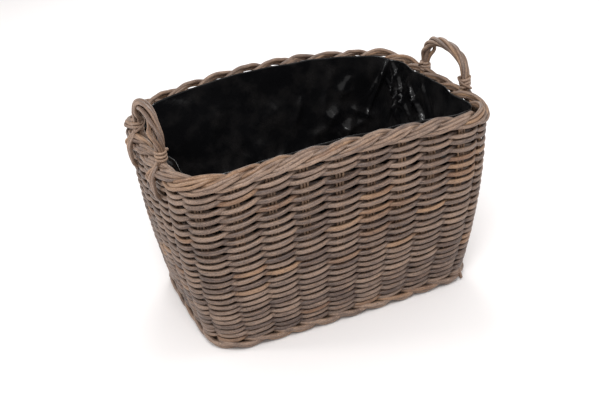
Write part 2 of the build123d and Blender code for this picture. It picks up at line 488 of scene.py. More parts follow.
class NodeSheet:
    """Small helper that adds and links shader nodes of one material."""

    def __init__(self, name):
        self.material = bpy.data.materials.new(name)
        self.material.use_nodes = True
        self.tree = self.material.node_tree
        self.shader = self.tree.nodes["Principled BSDF"]

    def add(self, kind, **settings):
        node = self.tree.nodes.new(kind)
        for key, value in settings.items():
            setattr(node, key, value)
        return node

    def link(self, source, target):
        self.tree.links.new(source, target)

    def attribute(self, name):
        return self.add("ShaderNodeAttribute", attribute_name=name)

    def scaled(self, source, scale):
        node = self.add("ShaderNodeVectorMath", operation="MULTIPLY")
        self.link(source, node.inputs[0])
        node.inputs[1].default_value = scale
        return node.outputs["Vector"]

    def noise(self, vector, scale, detail=3.0, roughness=0.55):
        node = self.add("ShaderNodeTexNoise")
        self.link(self.scaled(vector, scale), node.inputs["Vector"])
        node.inputs["Scale"].default_value = 1.0
        node.inputs["Detail"].default_value = detail
        node.inputs["Roughness"].default_value = roughness
        return node.outputs["Fac"]

    def math(self, operation, first, second, clamp=False):
        node = self.add("ShaderNodeMath", operation=operation, use_clamp=clamp)
        for socket, value in zip(node.inputs, (first, second)):
            if isinstance(value, (int, float)):
                socket.default_value = value
            else:
                self.link(value, socket)
        return node.outputs[0]

    def stretch(self, value, low, high, start=0.0, end=1.0):
        node = self.add("ShaderNodeMapRange")
        self.link(value, node.inputs["Value"])
        for key, number in zip(("From Min", "From Max", "To Min", "To Max"), (low, high, start, end)):
            node.inputs[key].default_value = number
        return node.outputs["Result"]

    def mix(self, factor, first, second, blend="MIX"):
        node = self.add("ShaderNodeMix", data_type="RGBA", blend_type=blend)
        for socket, value in ((node.inputs[0], factor), (node.inputs[6], first), (node.inputs[7], second)):
            if isinstance(value, (int, float)):
                socket.default_value = value
            elif isinstance(value, (tuple, list)):
                socket.default_value = (*value[:3], 1.0)
            else:
                self.link(value, socket)
        return node.outputs[2]

    def bump(self, height, strength, distance, normal=None):
        node = self.add("ShaderNodeBump")
        node.inputs["Strength"].default_value = strength
        node.inputs["Distance"].default_value = distance
        self.link(height, node.inputs["Height"])
        if normal is not None:
            self.link(normal, node.inputs["Normal"])
        return node.outputs["Normal"]


def cane_material(name, colours, brightness, gloss):
    """Weathered rattan: grey skin worn to tan, fine lengthwise grain and dark specks, with painted shade
    on each cane's underside and along its edges.
    """
    sheet = NodeSheet(name)
    grain = sheet.attribute("grain").outputs["Vector"]
    tone = sheet.attribute("tone").outputs["Fac"]
    tan = sheet.attribute("tan").outputs["Fac"]
    streaks = sheet.noise(grain, (55.0, 1000.0, 1000.0), 4.0)
    patches = sheet.noise(grain, (22.0, 90.0, 90.0), 2.0)
    specks = sheet.noise(grain, (520.0, 900.0, 900.0), 2.0)
    worn = sheet.noise(grain, (34.0, 330.0, 330.0), 3.0, 0.65)

    shade = sheet.math("ADD", tone, sheet.stretch(streaks, 0.3, 0.7, -0.42, 0.42))
    shade = sheet.math("ADD", shade, sheet.stretch(patches, 0.3, 0.7, -0.22, 0.22), clamp=True)
    dark = [channel * brightness for channel in colours.dark]
    pale = [channel * brightness for channel in colours.pale]
    colour = sheet.mix(shade, dark, pale)

    turned = sheet.add("ShaderNodeSeparateXYZ")
    sheet.link(grain, turned.inputs[0])
    facing = sheet.math("ABSOLUTE", turned.outputs["Y"], 0.0)
    edge = sheet.stretch(facing, 0.85 * GRAIN_RADIUS, 0.15 * GRAIN_RADIUS)
    under = sheet.stretch(turned.outputs["Z"], -0.3 * GRAIN_RADIUS, -0.95 * GRAIN_RADIUS)
    skin = sheet.stretch(worn, 0.52, 0.68, 0.0, 0.5)
    warmth = sheet.math("ADD", skin, sheet.math("MULTIPLY", edge, 0.22))
    warmth = sheet.math("ADD", warmth, sheet.math("MULTIPLY", tan, 0.85), clamp=True)
    colour = sheet.mix(warmth, colour, sheet.mix(shade, list(colours.rust), list(colours.tan)))
    # Painted shade: each cane's underside is darkened towards a deep rust brown, mottled by the patches
    # noise.
    underside_shade = sheet.math("MULTIPLY", under, sheet.stretch(patches, 0.35, 0.65, 0.25, 0.75))
    colour = sheet.mix(underside_shade, colour, [channel * 0.7 for channel in colours.rust])
    dots = sheet.stretch(specks, 0.54, 0.68, 0.0, 0.85)
    colour = sheet.mix(dots, colour, [channel * 0.55 for channel in dark])
    flecks = sheet.stretch(specks, 0.42, 0.30, 0.0, 0.55)
    colour = sheet.mix(flecks, colour, [min(1.0, channel * 1.5) for channel in pale])
    shadow = sheet.stretch(facing, 0.62 * GRAIN_RADIUS, 0.0, 0.0, 0.60)
    colour = sheet.mix(shadow, colour, [channel * 0.35 for channel in dark])
    sheet.link(colour, sheet.shader.inputs["Base Color"])

    rough = sheet.stretch(patches, 0.3, 0.7, 0.40, 0.62)
    sheet.link(rough, sheet.shader.inputs["Roughness"])
    sheet.shader.inputs["Specular IOR Level"].default_value = gloss
    normal = sheet.bump(streaks, 0.5, 0.0005)
    normal = sheet.bump(specks, 0.22, 0.0003, normal)
    sheet.link(normal, sheet.shader.inputs["Normal"])
    return sheet.material


def film_material(colours):
    """Black polythene film: glossy, with fine creases and a little dust."""
    sheet = NodeSheet("Liner Film")
    place = sheet.add("ShaderNodeTexCoord").outputs["Object"]
    creases = sheet.noise(place, (85.0, 85.0, 50.0), 4.0, 0.6)
    dust = sheet.noise(place, (26.0, 26.0, 26.0), 3.0)
    colour = sheet.mix(sheet.stretch(dust, 0.45, 0.75), list(colours.film), list(colours.dust))
    sheet.link(colour, sheet.shader.inputs["Base Color"])
    sheet.link(sheet.stretch(dust, 0.3, 0.7, 0.12, 0.27), sheet.shader.inputs["Roughness"])
    sheet.shader.inputs["Specular IOR Level"].default_value = 0.30
    sheet.link(sheet.bump(creases, 0.35, 0.0018), sheet.shader.inputs["Normal"])
    return sheet.material


def cane_of(context, name):
    """The cane material of that name, made from the scene's colours when it is first needed."""
    brightness, gloss = CANE_LOOKS[name]
    return bpy.data.materials.get(name) or cane_material(
        name, context.scene.basket_colours, brightness, gloss
    )


def film_of(context):
    """The liner film's material, made when it is first needed."""
    return bpy.data.materials.get("Liner Film") or film_material(context.scene.basket_colours)


def floor_material(colour):
    """Matte pale floor with a very faint mottle."""
    sheet = NodeSheet("Pale Floor")
    place = sheet.add("ShaderNodeTexCoord").outputs["Object"]
    mottle = sheet.noise(place, (1.5, 1.5, 1.5), 3.0)
    darker = [channel * 0.985 for channel in colour]
    sheet.link(sheet.mix(mottle, darker, list(colour)), sheet.shader.inputs["Base Color"])
    sheet.shader.inputs["Roughness"].default_value = 0.75
    return sheet.material


# Settings


def colour_setting(name, description, value):
    return bpy.props.FloatVectorProperty(
        name=name, description=description, subtype="COLOR", default=value
    )


def length_setting(name, description, value):
    return bpy.props.FloatProperty(name=name, description=description, default=value, unit="LENGTH")


def number_setting(name, description, value):
    return bpy.props.FloatProperty(name=name, description=description, default=value)


class BasketColours(bpy.types.PropertyGroup):
    dark: colour_setting("Dark cane", "Dark end of the weathered cane", (0.062, 0.041, 0.034))
    pale: colour_setting("Pale cane", "Pale end of the weathered cane", (0.268, 0.186, 0.140))
    tan: colour_setting("Tan cane", "Pale part of a cane that kept its skin", (0.36, 0.215, 0.118))
    rust: colour_setting("Rust cane", "Dark part of a cane that kept its skin", (0.16, 0.078, 0.042))
    film: colour_setting("Liner film", "Colour of the liner film", (0.004, 0.004, 0.0045))
    dust: colour_setting("Liner dust", "Colour of the dust on the film", (0.012, 0.011, 0.011))
    floor: colour_setting("Floor", "Colour of the floor", (0.90, 0.875, 0.87))


class WeaveSettings(bpy.types.PropertyGroup):
    crown: length_setting("Crown", "Rise of the long sides' rim towards their middle", 0.0267)
    strand_radius: length_setting("Strand radius", "Radius of a weave strand", 0.0043)
    climb: number_setting("Climb", "How far a strand climbs between two groups, in row pitches", 0.14)
    stake_radius: length_setting("Stake radius", "Radius of a stake", 0.0023)
    border_radius: length_setting("Border radius", "Radius of a cane in the rim border", 0.0036)
    foot_radius: length_setting("Foot radius", "Radius of a cane in the foot border", 0.0042)


class HandleSettings(bpy.types.PropertyGroup):
    cane_radius: length_setting("Cane radius", "Radius of a cane in a handle", 0.0037)
    rope_radius: length_setting(
        "Rope radius", "Distance of the canes from the middle of the rope", 0.0050
    )
    turns: number_setting("Turns", "Turns of the rope over the whole hoop", 0.95)


# Weave


def eased_loop(knots, reach):
    """Lookup table over two groups, -1 to 1, of a closed smooth curve through knots."""
    place, value = np.array(knots).T
    fine = np.linspace(-1, 1, 400, endpoint=False)
    plain = np.interp(fine, place, value)
    count = int(reach * 200)
    window = np.hanning(2 * count + 1)
    window /= window.sum()
    closed = np.concatenate([plain[-count:], plain, plain[:count]])
    return fine, np.convolve(closed, window, mode="valid")


# Along two groups, with 0 where the strand passes in front of its stakes: its rise, and its depth.
STRAND_RISE = eased_loop(
    (
        (-1.0, -0.7), (-0.75, -0.9), (-0.5, -1.0), (-0.3, -1.05), (0.0, -1.0), (0.2, -0.7),
        (0.4, 0.25), (0.55, 1.0), (0.68, 1.1), (0.82, 0.4), (1.0, -0.7),
    ),
    0.12,
)
STRAND_DEPTH = eased_loop(
    (
        (-1.0, -1.0), (-0.82, -1.0), (-0.62, -0.75), (-0.4, 0.1), (-0.2, 0.95), (0.0, 1.05),
        (0.3, 1.0), (0.46, 0.75), (0.6, 0.0), (0.78, -0.8), (1.0, -1.0),
    ),
    0.10,
)


def row_pitch(row):
    """Height from one row to the next."""
    return float(np.gradient(ROW_HEIGHTS)[row])


def segment_values(rng, groups, which, low, high):
    """A value for each stretch of strand between two hidden passes, blended where it is hidden."""
    stretch = (groups - which + 1) / 2
    index = np.floor(stretch).astype(int)
    count = GROUPS // 2
    values = np.array([rng.uniform(low, high) for _ in range(count)])
    part = stretch - index
    here = values[index % count]
    before = values[(index - 1) % count]
    return before + (here - before) * smooth(0.0, 0.12, part)


def tan_values(rng, groups, which, chance):
    """1 where a stretch of strand kept its tan skin."""
    stretch = (groups - which + 1) / 2
    index = np.floor(stretch).astype(int) % (GROUPS // 2)
    values = [rng.uniform(0.6, 1.0) if rng.random() < chance else 0.0 for _ in range(GROUPS // 2)]
    return np.array(values)[index]


def add_twined_strand(bundle, settings, rng, height, pitch, which):
    """One of the two strands of a row; which is 0 or 1, the group it starts in front of."""
    count = GROUPS * STRAND_SAMPLES
    groups = np.linspace(0, GROUPS, count, endpoint=False)
    lag = segment_values(rng, groups, which, -0.05, 0.05)
    place = (groups + lag - which + 1) % 2 - 1
    climb = settings.climb * pitch * segment_values(rng, groups, which, 0.85, 1.15)
    depth = np.interp(place, *STRAND_DEPTH, period=2)
    lift = np.interp(place, *STRAND_RISE, period=2) * climb + slow_noise(rng, count, 18) * 0.0007
    thick = 1 + 0.04 * slow_noise(rng, count, 40) + segment_values(rng, groups, which, -0.08, 0.06)
    full = min(settings.strand_radius, 0.42 * pitch)
    nested = min(settings.strand_radius, 0.27 * pitch)
    tall = (nested + (full - nested) * np.clip(np.abs(depth) * 1.2 - 0.1, 0, 1)) * thick
    wide = settings.strand_radius * 0.86 * thick
    reach = settings.stake_radius + settings.strand_radius * 0.84
    share = group_share(groups)
    centre, out = wall_point(share, height + lift, depth * reach, settings.crown)
    # Painted shade: the 0.18 * height term makes the rows darker towards the bottom of the wall. The sine
    # noise is random tone.
    tone = 0.38 + 0.18 * height / RIM_TOP + 0.13 * slow_noise(rng, count, 12)
    tone += segment_values(rng, groups, which, -0.30, 0.26)
    # Painted shade: the strand is darker where it passes behind its stakes.
    tone -= 0.28 * (1 - smooth(-0.3, 0.8, depth))
    tan = tan_values(rng, groups, which, 0.12)
    bundle.add(centre, out, wide, tall, tone, tan, closed=True, along_start=rng.uniform(0, 20))


def camera_turn(direction, roll):
    """Rotation that looks back along direction, turned by roll."""
    right = Vector((0, 0, 1)).cross(direction).normalized()
    up = direction.cross(right)
    side = right * math.cos(roll) + up * math.sin(roll)
    rise = up * math.cos(roll) - right * math.sin(roll)
    return Matrix((side, rise, direction)).transposed().to_euler()


def add_camera():
    """Camera in front of the basket, to the left of its middle and above its rim."""
    azimuth, elevation = math.radians(CAMERA_AZIMUTH), math.radians(CAMERA_ELEVATION)
    direction = Vector(
        (
            math.sin(azimuth) * math.cos(elevation),
            -math.cos(azimuth) * math.cos(elevation),
            math.sin(elevation),
        )
    )
    data = bpy.data.cameras.new("Camera")
    data.lens = CAMERA_LENS
    data.sensor_width = CAMERA_SENSOR
    camera = bpy.data.objects.new("Camera", data)
    camera.location = Vector(CAMERA_TARGET) + direction * CAMERA_DISTANCE
    camera.rotation_euler = camera_turn(direction, math.radians(CAMERA_ROLL))
    bpy.context.scene.collection.objects.link(camera)
    bpy.context.scene.camera = camera


# Operators


class BASKET_OT_weave(bpy.types.Operator):
    """Twines two strands round the stakes for each row of the wall"""

    bl_idname = "basket.weave"
    bl_label = "Weave Rows"

    def execute(self, context):
        settings = context.scene.basket_weave
        material = cane_of(context, "Weave Cane")
        for row, name in enumerate(ROW_NAMES):
            rng = random.Random(SEED + row)
            bundle = CaneBundle(12)
            for which in (0, 1):
                add_twined_strand(
                    bundle, settings, rng, ROW_HEIGHTS[row], row_pitch(row), (which + row) % 2
                )
            bundle.build(f"Weave_Row_{row + 1:02d}", material, [name])
        return {"FINISHED"}


class BASKET_OT_wale(bpy.types.Operator):
    """Twines the two longer strands under the rim border"""

    bl_idname = "basket.wale"
    bl_label = "Rim Wale"

    def execute(self, context):
        settings = context.scene.basket_weave
        rng = random.Random(SEED + 71)
        bundle = CaneBundle(12)
        for which in (0, 1):
            add_twined_strand(bundle, settings, rng, WALE_HEIGHT - WALE_DROP, WALE_PITCH, which)
        bundle.build("Rim_Wale", cane_of(context, "Wale Cane"), ["rim_wale"])
        return {"FINISHED"}


class BASKET_OT_stakes(bpy.types.Operator):
    """Stands three thin stakes in each group, from the foot to the rim"""

    bl_idname = "basket.stakes"
    bl_label = "Stakes"

    def execute(self, context):
        settings = context.scene.basket_weave
        material = cane_of(context, "Stake Cane")
        for name, groups in STAKE_GROUPS.items():
            rng = random.Random(SEED + 100 + groups[0])
            low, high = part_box(name)
            bundle = CaneBundle(10)
            for group in groups:
                self.add_group(bundle, settings, rng, group, low.z, high.z)
            bundle.build(title_of(name), material, [name])
        return {"FINISHED"}

    def add_group(self, bundle, settings, rng, group, bottom, top):
        count = STAKE_SAMPLES
        heights = np.linspace(bottom, top, count)
        middle = group_share(np.full(count, float(group)))
        for slot in range(STAKES_IN_GROUP):
            beside = (slot - 1) * STAKE_SPACING * rng.uniform(0.96, 1.08)
            sway = slow_noise(rng, count, 9, closed=False) * 0.0004
            shares = middle + (beside + sway) / PERIMETER
            centre, out = wall_point(shares, heights, 0.0, settings.crown)
            thick = settings.stake_radius * rng.uniform(0.94, 1.06)
            tone = 0.62 + rng.uniform(-0.22, 0.22) + 0.08 * slow_noise(rng, count, 9, closed=False)
            tan = rng.uniform(0.2, 0.8)
            bundle.add(centre, out, thick, thick, tone, tan, along_start=rng.uniform(0, 20))


def border_route(rows, count=64):
    """Smooth route through rows of (pitches along, height, offset)."""
    steps, heights, offsets = np.array(rows).T
    wide = np.linspace(steps[0], steps[-1], count)
    span = (steps[-1] - steps[0]) / (count - 1)
    reach = max(1, int(round(0.22 / span)))
    window = np.hanning(2 * reach + 1)
    window /= window.sum()

    def eased(values):
        plain = np.interp(wide, steps, values)
        start = 2 * plain[0] - plain[reach:0:-1]
        end = 2 * plain[-1] - plain[-2 : -reach - 2 : -1]
        return np.convolve(np.concatenate([start, plain, end]), window, mode="valid")

    return wide, eased(heights), eased(offsets)


def add_border_cane(
    bundle, rng, group, rows, base, radius, crown, loose, tone, tan, floor=None, squeeze=1.0
):
    """A border cane of one group, following its rows in mm from the base height."""
    steps, heights, offsets = border_route(rows)
    shift = rng.uniform(-0.05, 0.05)
    lift = slow_noise(rng, len(steps), 5, closed=False) * 0.0005
    heights = base + heights * loose * squeeze / 1000 + lift
    offsets = offsets * (1 + (loose - 1) * 0.5) / 1000
    thick = radius * rng.uniform(0.93, 1.05) * (1 + 0.02 * slow_noise(rng, len(steps), 8, closed=False))
    if floor is not None:
        heights = np.maximum(heights, floor + thick)
    shares = group_share(group + steps + shift)
    centre, out = wall_point(shares, heights, offsets, crown)
    shade = tone + 0.10 * slow_noise(rng, len(steps), 5, closed=False)
    bundle.add(centre, out, thick, thick, shade, tan, along_start=rng.uniform(0, 20))


def corner_looseness(group):
    """1 on the straight sides and a little more where the border turns a corner."""
    return CORNER_LOOSENESS if group in CORNER_GROUPS else 1.0


def corner_lift(group):
    """The border stands a little higher round the corners, where it turns over thicker loops."""
    return CORNER_LIFT if group in CORNER_GROUPS else 0.0


class BASKET_OT_rim_border(bpy.types.Operator):
    """Plaits the rim border, three canes to each stake group"""

    bl_idname = "basket.rim_border"
    bl_label = "Rim Border"

    def execute(self, context):
        settings = context.scene.basket_weave
        rng = random.Random(SEED + 200)
        bundle = CaneBundle(12)
        crest = RIM_TOP - settings.border_radius
        for group in range(GROUPS):
            loose = corner_looseness(group) * rng.uniform(0.93, 1.07)
            for rows in RIM_CANES:
                tone = rng.uniform(0.36, 0.80)
                tan = rng.uniform(0.6, 1.0) if rng.random() < 0.22 else rng.uniform(0.0, 0.2)
                add_border_cane(
                    bundle, rng, group, rows, crest + corner_lift(group), settings.border_radius,
                    settings.crown, loose, tone, tan, squeeze=RIM_SQUEEZE,
                )
        bundle.build(
            "Rim_Border", cane_of(context, "Border Cane"), ["rim_border_canes"]
        )
        return {"FINISHED"}


class BASKET_OT_foot_border(bpy.types.Operator):
    """Plaits the foot border, two canes to each stake group, flat on the floor"""

    bl_idname = "basket.foot_border"
    bl_label = "Foot Border"

    def execute(self, context):
        settings = context.scene.basket_weave
        rng = random.Random(SEED + 300)
        bundle = CaneBundle(12)
        for group in range(GROUPS):
            for number, rows in enumerate(FOOT_CANES):
                tone = rng.uniform(0.30, 0.66) + 0.10 * (number == 0)
                tan = rng.uniform(0.4, 0.9) if rng.random() < 0.25 else rng.uniform(0.0, 0.2)
                add_border_cane(
                    bundle, rng, group, rows, 0.0, settings.foot_radius,
                    settings.crown, 1.0, tone, tan, floor=0.0,
                )
        self.add_cut_end(bundle, settings, rng)
        bundle.build(
            "Foot_Border", cane_of(context, "Border Cane"), ["foot_border_canes"]
        )
        return {"FINISHED"}

    def add_cut_end(self, bundle, settings, rng):
        """The one cane end that stands out at the front right corner."""
        share = group_share(np.full(CUT_END_SAMPLES, CUT_END_GROUP))
        heights = np.linspace(*CUT_END_HEIGHTS, CUT_END_SAMPLES)
        offsets = np.linspace(*CUT_END_OFFSETS, CUT_END_SAMPLES)
        centre, out = wall_point(share, heights, offsets, settings.crown)
        bundle.add(centre, out, CUT_END_RADIUS, CUT_END_RADIUS, rng.uniform(0.4, 0.6), 0.3)


class BASKET_OT_base(bpy.types.Operator):
    """Lays the base sticks and weaves the base canes over and under them"""

    bl_idname = "basket.base"
    bl_label = "Base"

    def execute(self, context):
        material = cane_of(context, "Base Cane")
        low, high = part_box("base_sticks")
        radius = (high.z - low.z) / 2
        middle = middle_of("base_sticks", Z)
        rows = np.linspace(low.y + radius, high.y - radius, BASE_STICKS)
        rng = random.Random(SEED + 400)
        sticks = CaneBundle(12)
        for row in rows:
            x = np.linspace(low.x, high.x, STICK_SAMPLES)
            y = row + slow_noise(rng, STICK_SAMPLES, 6, closed=False) * 0.0006
            centre = np.stack([x, y, np.full(STICK_SAMPLES, middle)], axis=1)
            up = repeated((0.0, 0.0, 1.0), STICK_SAMPLES)
            thick = radius * 0.97
            sticks.add(centre, up, thick, thick, rng.uniform(0.3, 0.6), rng.uniform(0, 0.4))
        sticks.build("Base_Sticks", material, ["base_sticks"])
        for number, name in enumerate(("base_upper_canes", "base_lower_canes")):
            self.weave(name, number, rows, radius, middle, rng, material)
        return {"FINISHED"}

    def weave(self, name, number, rows, stick, middle, rng, material):
        """Weaves one set of base canes; number is 0 for the set that starts over the first stick."""
        low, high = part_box(name)
        radius = (high.z - low.z) / 2 * 0.96
        gap = rows[1] - rows[0]
        places = np.linspace(low.x + radius, high.x - radius, BASE_CANES)
        places = places + (number - 0.5) * (places[1] - places[0]) / 2
        bundle = CaneBundle(10)
        for place in places:
            y = np.linspace(low.y, high.y, BASE_CANE_SAMPLES)
            wave = np.cos(math.pi * (y - rows[0]) / gap) * (1 if number == 0 else -1)
            z = middle + np.tanh(1.6 * wave) / np.tanh(1.6) * (stick + radius) * 0.97
            x = place + slow_noise(rng, BASE_CANE_SAMPLES, 8, closed=False) * 0.0004
            centre = np.stack([x, y, z], axis=1)
            up = repeated((0.0, 0.0, 1.0), BASE_CANE_SAMPLES)
            tone, tan = rng.uniform(0.25, 0.6), rng.uniform(0, 0.4)
            bundle.add(centre, up, radius, radius, tone, tan, along_start=rng.uniform(0, 20))
        bundle.build(title_of(name), material, [name])


def crease_field(rng, place, height, count):
    """Flat facets meeting in straight creases; place and height in metres."""
    total = np.zeros_like(place)
    for _ in range(count):
        angle = rng.uniform(0, math.pi)
        x0, z0 = rng.uniform(0, PERIMETER), rng.uniform(-0.03, 0.36)
        reach = rng.uniform(0.04, 0.13)
        along = (place - x0 + PERIMETER / 2) % PERIMETER - PERIMETER / 2
        down = height - z0
        across = along * math.cos(angle) + down * math.sin(angle)
        window = np.clip(1.3 - np.hypot(along, down) / reach, 0, 1)
        total += rng.uniform(-0.16, 0.16) * np.sqrt(across**2 + 0.001**2) * window
    return total


def fold_field(rng, place, height, folds):
    """Raised folds: share round the wall, height, tilt from upright, length, half width and rise."""
    total = np.zeros_like(place)
    for share, z0, tilt, length, width, rise in folds:
        along = (place - share * PERIMETER + PERIMETER / 2) % PERIMETER - PERIMETER / 2
        down = z0 - height
        bow = 0.04 * rng.uniform(-1, 1) * np.sin(6 * down / length)
        across = along * math.cos(tilt) + down * math.sin(tilt) + bow * width
        run = -along * math.sin(tilt) + down * math.cos(tilt)
        window = smooth(-0.2 * length, 0.2 * length, run) * (1 - smooth(0.55 * length, length, run))
        ridge = np.maximum(0, 1 - np.abs(across) / width)
        total += rise * ridge**1.4 * window
    return total


def drawn(rng, *ranges):
    """One number drawn from each range, in turn."""
    return [rng.uniform(*ends) for ends in ranges]


def seeded_folds(rng):
    """Upright folds all round, slanting slumps in the back wall and sharp folds by the right end."""
    folds = []
    for _ in range(UPRIGHT_FOLDS):
        place = (rng.random(), rng.uniform(0.12, 0.33), rng.gauss(0, 0.3))
        folds.append((*place, *drawn(rng, (0.06, 0.22), (0.007, 0.020), (0.003, 0.008))))
    for _ in range(SLUMPS):
        place = drawn(rng, (0.36, 0.43), (0.20, 0.32))
        lean = rng.choice((-1, 1)) * rng.uniform(0.7, 1.4)
        folds.append((*place, lean, *drawn(rng, (0.04, 0.09), (0.012, 0.024), (0.004, 0.007))))
    for _ in range(END_FOLDS):
        lean = rng.choice((-1, 1)) * rng.uniform(0.35, 0.65)
        place = drawn(rng, (0.27, 0.365), (0.29, 0.345))
        folds.append((*place, lean, *drawn(rng, (0.07, 0.14), (0.004, 0.007), (0.006, 0.010))))
    return folds


def leg_room(place):
    """How far the film stands in where it passes inside the four handle legs."""
    total = np.zeros_like(place)
    for middle in (0.25, 0.75):
        for side in (-1, 1):
            leg = middle * PERIMETER + side * HOOP_SPAN
            total += LEG_ROOM * np.exp(-(((place - leg) / LEG_ROOM_WIDTH) ** 2))
    return total


class BASKET_OT_liner(bpy.types.Operator):
    """Drapes the creased film liner inside the wall and over the base"""

    bl_idname = "basket.liner"
    bl_label = "Liner"

    def execute(self, context):
        crown = context.scene.basket_weave.crown
        rng = random.Random(SEED + 500)
        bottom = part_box("plastic_liner")[0].z + LINER_FLOOR_LIFT
        top = RIM_TOP - LINER_TOP_DROP
        count, rows = LINER_COLUMNS, LINER_ROWS
        shares = np.linspace(0, 1, count, endpoint=False)
        place = np.tile(shares * PERIMETER, (rows, 1))
        ragged = RAGGED_EDGE * slow_noise(rng, count, 23)
        down = np.linspace(1, 0, rows)[:, None]
        height = np.linspace(top, bottom, rows)[:, None] + ragged * down**2
        crumple = crease_field(rng, place, height, FACET_LINES)
        stand = FACET_STAND + FACET_SWING * np.tanh(crumple / FACET_LIMIT)
        stand += fold_field(rng, place, height, seeded_folds(rng))
        stand *= 1 - 0.40 * smooth(top - 0.10, top, height)
        stand *= smooth(bottom - 0.012, bottom + 0.05, height)
        stand += leg_room(place) * smooth(*LEG_ROOM_FADE, height)
        offset = -(LINER_OFFSET + LINER_CLEARANCE + stand)
        wall, _ = wall_point(np.tile(shares, rows), height.ravel(), offset.ravel(), crown)
        wall = wall.reshape(rows, count, 3)
        part = 1 - np.arange(1, FLOOR_RINGS + 1)[:, None] / (FLOOR_RINGS + 0.35)
        floor = np.repeat(wall[-1][None], FLOOR_RINGS, axis=0)
        floor[..., :2] *= part[..., None]
        ripple = crease_field(
            rng, floor[..., X] + PERIMETER / 2, floor[..., Y] + FLOOR_SHIFT, FLOOR_LINES
        )
        ripple = np.clip(FLOOR_RIPPLE + ripple, 0, FLOOR_RIPPLE_LIMIT)
        floor[..., Z] = bottom + ripple * smooth(1.0, 0.85, part)
        self.build_shell(context, np.concatenate([wall, floor]), count)
        return {"FINISHED"}

    def build_shell(self, context, layers, count):
        """Closes the layers into a thin shell; count is the number of points in a layer."""
        inner = layers.reshape(-1, 3)
        rings = len(layers)
        ring = np.arange(rings - 1)[:, None] * count
        here = np.arange(count)[None, :]
        beside = (here + 1) % count
        under = ring + count
        quads = np.stack([ring + here, ring + beside, under + beside, under + here], axis=-1)
        quads = quads.reshape(-1, 4)
        cap = ((rings - 1) * count + np.arange(count)).tolist()
        normals = grid_normals(layers).reshape(-1, 3)
        outer = inner - normals * FILM_THICKNESS
        size = len(inner)
        faces = quads.tolist() + [cap]
        faces += (quads[:, ::-1] + size).tolist() + [[index + size for index in reversed(cap)]]
        edge = np.stack([here[0], here[0] + size, beside[0] + size, beside[0]], axis=-1)
        faces += edge.tolist()
        mesh = bpy.data.meshes.new("Liner")
        mesh.from_pydata(np.concatenate([inner, outer]).tolist(), [], faces)
        mesh.polygons.foreach_set("use_smooth", [True] * len(faces))
        mesh.materials.append(film_of(context))
        piece = place_piece(mesh, "Liner", ["plastic_liner"])


def grid_normals(layers):
    """Normals of a closed grid of rings, pointing into the basket."""
    around = np.roll(layers, -1, axis=1) - np.roll(layers, 1, axis=1)
    down = np.gradient(layers, axis=0)
    return unit(np.cross(down, around))


# Handles


def hoop_middle(end, share):
    """Middle line of a hoop; share runs from the front binding over the top to the back one."""
    drop, front, back, lean = HOOP_SHAPES[end]
    square, wide, shift, _ = HOOP_ARCHES[end]
    angle = math.pi * share
    y = -HOOP_SPAN * np.cos(angle) * (1 + wide * np.sin(angle) ** 2) + shift * np.sin(angle)
    rise = np.abs(np.sin(angle)) ** square
    start = WRAP_HEIGHT - HOOP_START_DROP - (front + (back - front) * share)
    z = start + (HOOP_TOP - drop - start) * rise
    x = end * HOOP_PLANE + HOOP_SHIFT + end * lean * rise
    return np.stack([x, y, z], axis=1)


def wall_near(end, y, height, offset, crown):
    """Points beside the end wall at given y."""
    share = (0.25 + y / PERIMETER) if end > 0 else (0.75 - y / PERIMETER)
    points, _ = wall_point(share, height, offset, crown)
    return points


